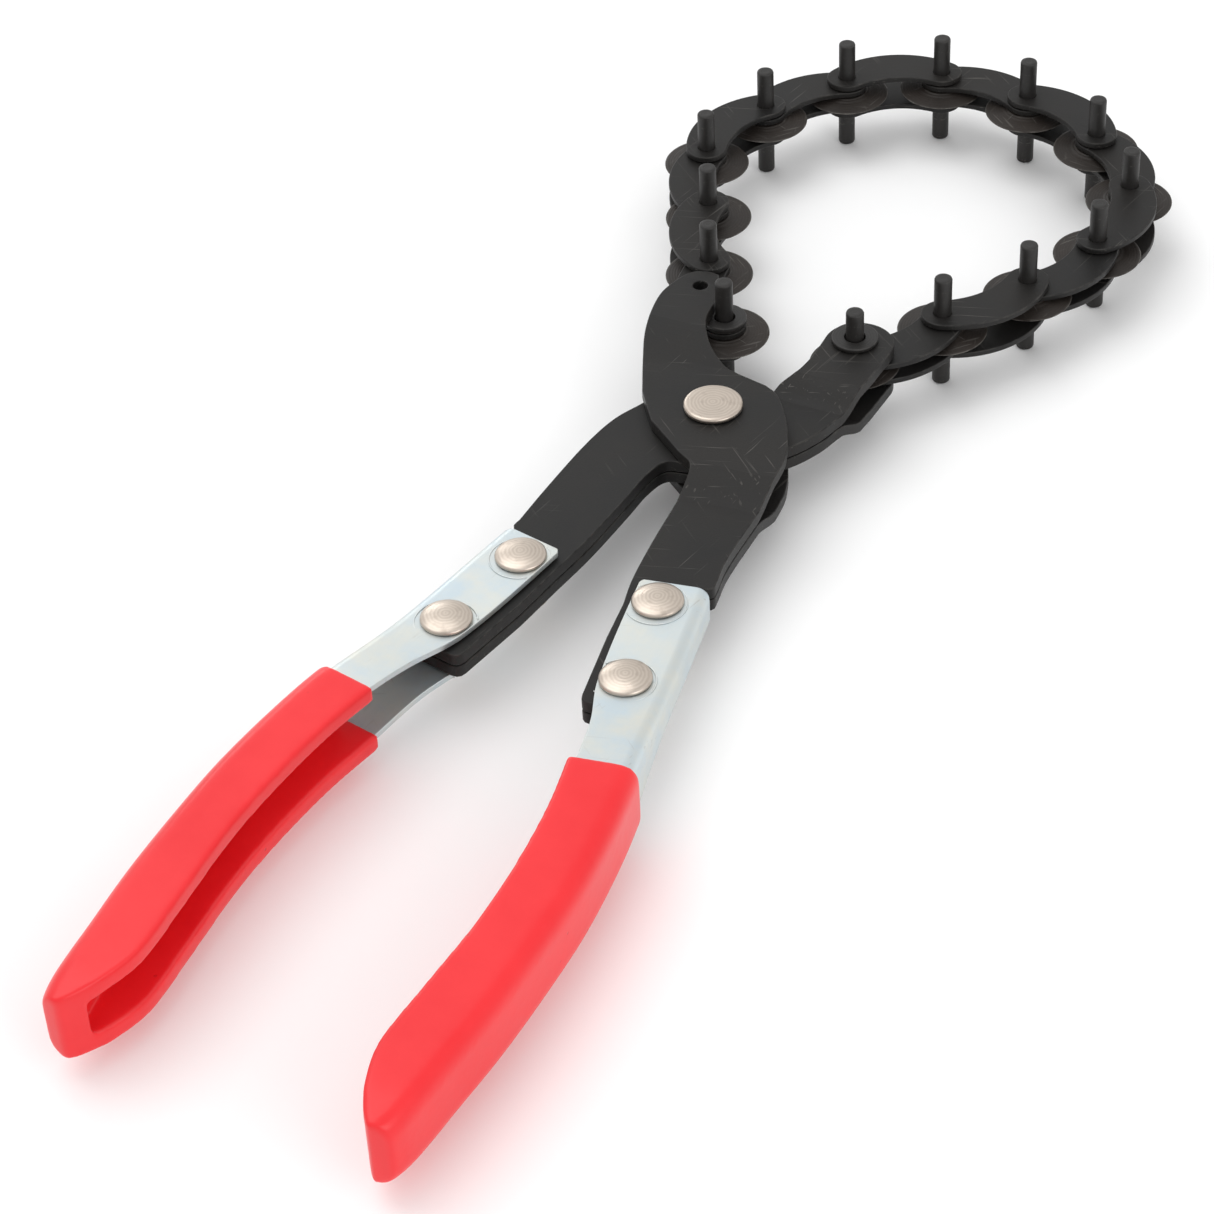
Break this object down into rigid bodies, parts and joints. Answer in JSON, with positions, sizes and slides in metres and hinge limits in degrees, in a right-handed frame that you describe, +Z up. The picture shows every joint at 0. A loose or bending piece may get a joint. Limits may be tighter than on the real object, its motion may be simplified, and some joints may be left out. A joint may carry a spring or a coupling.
{
  "type": "chain pipe cutter",
  "caption": "Plier-handled chain pipe cutter: a roller chain of cutting wheels held by one jaw loops round a pipe and hooks into the notch of the other.",
  "frame": {"origin": "under the middle of the tool, level with the lower ends of the chain pins that it lies on", "axes": "+Y from the handles to the chain, +X to the right seen from above, +Z up, parallel to the pivot and to every chain pin"},
  "size_m": [0.1123, 0.3465, 0.0264],
  "materials": {
    "black_steel": "black oxide, satin, with light scratches and brighter worn edges",
    "wheel_steel": "hardened and browned, satin",
    "zinc": "zinc plated, semi-gloss, faintly mottled",
    "rivet_steel": "nickel plated, brushed in circles",
    "red_vinyl": "dipped vinyl, soft gloss"
  },
  "bodies": {
    "jaw_arm": {"jaw_arm_plate_upper": "black_steel", "jaw_arm_plate_lower": "black_steel", "pivot_rivet": "rivet_steel", "left_handle": "zinc", "left_grip": "red_vinyl", "left_rivet_front": "rivet_steel", "left_rivet_rear": "rivet_steel", "chain_pin_14": "black_steel", "chain_pin_14_washer_upper": "black_steel", "chain_pin_14_washer_lower": "black_steel"},
    "hook_arm": {"hook_arm_plate_upper": "black_steel", "hook_arm_plate_lower": "black_steel", "right_handle": "zinc", "right_grip": "red_vinyl", "right_rivet_front": "rivet_steel", "right_rivet_rear": "rivet_steel"},
    "link_13_14": {"link_13_14_plate_upper": "black_steel", "link_13_14_plate_lower": "black_steel"},
    "link_12_13": {"link_12_13_plate_upper": "black_steel", "link_12_13_plate_lower_with_pins": "black_steel"},
    "link_11_12": {"link_11_12_plate_upper": "black_steel", "link_11_12_plate_lower": "black_steel"},
    "link_10_11": {"link_10_11_plate_upper": "black_steel", "link_10_11_plate_lower_with_pins": "black_steel"},
    "link_09_10": {"link_09_10_plate_upper": "black_steel", "link_09_10_plate_lower": "black_steel"},
    "link_08_09": {"link_08_09_plate_upper": "black_steel", "link_08_09_plate_lower_with_pins": "black_steel"},
    "link_07_08": {"link_07_08_plate_upper": "black_steel", "link_07_08_plate_lower": "black_steel"},
    "link_06_07": {"link_06_07_plate_upper": "black_steel", "link_06_07_plate_lower_with_pins": "black_steel"},
    "link_05_06": {"link_05_06_plate_upper": "black_steel", "link_05_06_plate_lower": "black_steel"},
    "link_04_05": {"link_04_05_plate_upper": "black_steel", "link_04_05_plate_lower_with_pins": "black_steel"},
    "link_03_04": {"link_03_04_plate_upper": "black_steel", "link_03_04_plate_lower": "black_steel"},
    "link_02_03": {"link_02_03_plate_upper": "black_steel", "link_02_03_plate_lower_with_pins": "black_steel"},
    "link_01_02": {"link_01_02_plate_upper": "black_steel", "link_01_02_plate_lower": "black_steel", "chain_pin_01": "black_steel", "chain_pin_01_washer_upper": "black_steel", "chain_pin_01_washer_lower": "black_steel"},
    "wheel_01": {"cutting_wheel_01": "wheel_steel"},
    "wheel_02": {"cutting_wheel_02": "wheel_steel"},
    "wheel_03": {"cutting_wheel_03": "wheel_steel"},
    "wheel_04": {"cutting_wheel_04": "wheel_steel"},
    "wheel_05": {"cutting_wheel_05": "wheel_steel"},
    "wheel_06": {"cutting_wheel_06": "wheel_steel"},
    "wheel_07": {"cutting_wheel_07": "wheel_steel"},
    "wheel_08": {"cutting_wheel_08": "wheel_steel"},
    "wheel_09": {"cutting_wheel_09": "wheel_steel"},
    "wheel_10": {"cutting_wheel_10": "wheel_steel"},
    "wheel_11": {"cutting_wheel_11": "wheel_steel"},
    "wheel_12": {"cutting_wheel_12": "wheel_steel"},
    "wheel_13": {"cutting_wheel_13": "wheel_steel"},
    "wheel_14": {"cutting_wheel_14": "wheel_steel"}
  },
  "joints": [
    {"name": "handle_pivot", "type": "hinge", "parent": "jaw_arm", "child": "hook_arm", "pos_m": [-0.0046, 0.0244, 0.0132], "axis": [0, 0, 1], "range_deg": [-12, 25]},
    {"name": "chain_joint_14", "type": "hinge", "parent": "jaw_arm", "child": "link_13_14", "pos_m": [0.01331, 0.05646, 0.0132], "axis": [0, 0, 1], "range_deg": [-90, 2]},
    {"name": "chain_joint_13", "type": "hinge", "parent": "link_13_14", "child": "link_12_13", "pos_m": [0.0258, 0.07457, 0.0132], "axis": [0, 0, 1], "range_deg": [-60, 5]},
    {"name": "chain_joint_12", "type": "hinge", "parent": "link_12_13", "child": "link_11_12", "pos_m": [0.0381, 0.09281, 0.0132], "axis": [0, 0, 1], "range_deg": [-101, 79]},
    {"name": "chain_joint_11", "type": "hinge", "parent": "link_11_12", "child": "link_10_11", "pos_m": [0.0467, 0.11306, 0.0132], "axis": [0, 0, 1], "range_deg": [-114, 66]},
    {"name": "chain_joint_10", "type": "hinge", "parent": "link_10_11", "child": "link_09_10", "pos_m": [0.04639, 0.13506, 0.0132], "axis": [0, 0, 1], "range_deg": [-128, 52]},
    {"name": "chain_joint_09", "type": "hinge", "parent": "link_09_10", "child": "link_08_09", "pos_m": [0.0327, 0.15227, 0.0132], "axis": [0, 0, 1], "range_deg": [-116, 64]},
    {"name": "chain_joint_08", "type": "hinge", "parent": "link_08_09", "child": "link_07_08", "pos_m": [0.01281, 0.16168, 0.0132], "axis": [0, 0, 1], "range_deg": [-110, 70]},
    {"name": "chain_joint_07", "type": "hinge", "parent": "link_07_08", "child": "link_06_07", "pos_m": [-0.00909, 0.16386, 0.0132], "axis": [0, 0, 1], "range_deg": [-123, 57]},
    {"name": "chain_joint_06", "type": "hinge", "parent": "link_06_07", "child": "link_05_06", "pos_m": [-0.02858, 0.15367, 0.0132], "axis": [0, 0, 1], "range_deg": [-117, 63]},
    {"name": "chain_joint_05", "type": "hinge", "parent": "link_05_06", "child": "link_04_05", "pos_m": [-0.04136, 0.13576, 0.0132], "axis": [0, 0, 1], "range_deg": [-112, 68]},
    {"name": "chain_joint_04", "type": "hinge", "parent": "link_04_05", "child": "link_03_04", "pos_m": [-0.04664, 0.1144, 0.0132], "axis": [0, 0, 1], "range_deg": [-129, 51]},
    {"name": "chain_joint_03", "type": "hinge", "parent": "link_03_04", "child": "link_02_03", "pos_m": [-0.03728, 0.0945, 0.0132], "axis": [0, 0, 1], "range_deg": [-89, 91]},
    {"name": "chain_joint_02", "type": "hinge", "parent": "link_02_03", "child": "link_01_02", "pos_m": [-0.02812, 0.07449, 0.0132], "axis": [0, 0, 1], "range_deg": [0, 80]},
    {"name": "wheel_spin_01", "type": "hinge", "parent": "link_01_02", "child": "wheel_01", "pos_m": [-0.0162, 0.056, 0.0132], "axis": [0, 0, 1], "continuous": true},
    {"name": "wheel_spin_02", "type": "hinge", "parent": "link_02_03", "child": "wheel_02", "pos_m": [-0.02812, 0.07449, 0.0132], "axis": [0, 0, 1], "continuous": true},
    {"name": "wheel_spin_03", "type": "hinge", "parent": "link_02_03", "child": "wheel_03", "pos_m": [-0.03728, 0.0945, 0.0132], "axis": [0, 0, 1], "continuous": true},
    {"name": "wheel_spin_04", "type": "hinge", "parent": "link_04_05", "child": "wheel_04", "pos_m": [-0.04664, 0.1144, 0.0132], "axis": [0, 0, 1], "continuous": true},
    {"name": "wheel_spin_05", "type": "hinge", "parent": "link_04_05", "child": "wheel_05", "pos_m": [-0.04136, 0.13576, 0.0132], "axis": [0, 0, 1], "continuous": true},
    {"name": "wheel_spin_06", "type": "hinge", "parent": "link_06_07", "child": "wheel_06", "pos_m": [-0.02858, 0.15367, 0.0132], "axis": [0, 0, 1], "continuous": true},
    {"name": "wheel_spin_07", "type": "hinge", "parent": "link_06_07", "child": "wheel_07", "pos_m": [-0.00909, 0.16386, 0.0132], "axis": [0, 0, 1], "continuous": true},
    {"name": "wheel_spin_08", "type": "hinge", "parent": "link_08_09", "child": "wheel_08", "pos_m": [0.01281, 0.16168, 0.0132], "axis": [0, 0, 1], "continuous": true},
    {"name": "wheel_spin_09", "type": "hinge", "parent": "link_08_09", "child": "wheel_09", "pos_m": [0.0327, 0.15227, 0.0132], "axis": [0, 0, 1], "continuous": true},
    {"name": "wheel_spin_10", "type": "hinge", "parent": "link_10_11", "child": "wheel_10", "pos_m": [0.04639, 0.13506, 0.0132], "axis": [0, 0, 1], "continuous": true},
    {"name": "wheel_spin_11", "type": "hinge", "parent": "link_10_11", "child": "wheel_11", "pos_m": [0.0467, 0.11306, 0.0132], "axis": [0, 0, 1], "continuous": true},
    {"name": "wheel_spin_12", "type": "hinge", "parent": "link_12_13", "child": "wheel_12", "pos_m": [0.0381, 0.09281, 0.0132], "axis": [0, 0, 1], "continuous": true},
    {"name": "wheel_spin_13", "type": "hinge", "parent": "link_12_13", "child": "wheel_13", "pos_m": [0.0258, 0.07457, 0.0132], "axis": [0, 0, 1], "continuous": true},
    {"name": "wheel_spin_14", "type": "hinge", "parent": "jaw_arm", "child": "wheel_14", "pos_m": [0.01331, 0.05646, 0.0132], "axis": [0, 0, 1], "continuous": true}
  ],
  "couplings": [
    {"joint": "chain_joint_12", "follows": "handle_pivot", "ratio": -0.045},
    {"joint": "chain_joint_11", "follows": "handle_pivot", "ratio": -0.045},
    {"joint": "chain_joint_10", "follows": "handle_pivot", "ratio": -0.045},
    {"joint": "chain_joint_09", "follows": "handle_pivot", "ratio": -0.045},
    {"joint": "chain_joint_08", "follows": "handle_pivot", "ratio": -0.045},
    {"joint": "chain_joint_07", "follows": "handle_pivot", "ratio": -0.045},
    {"joint": "chain_joint_06", "follows": "handle_pivot", "ratio": -0.045},
    {"joint": "chain_joint_05", "follows": "handle_pivot", "ratio": -0.045},
    {"joint": "chain_joint_04", "follows": "handle_pivot", "ratio": -0.045},
    {"joint": "chain_joint_03", "follows": "handle_pivot", "ratio": -0.045}
  ]
}
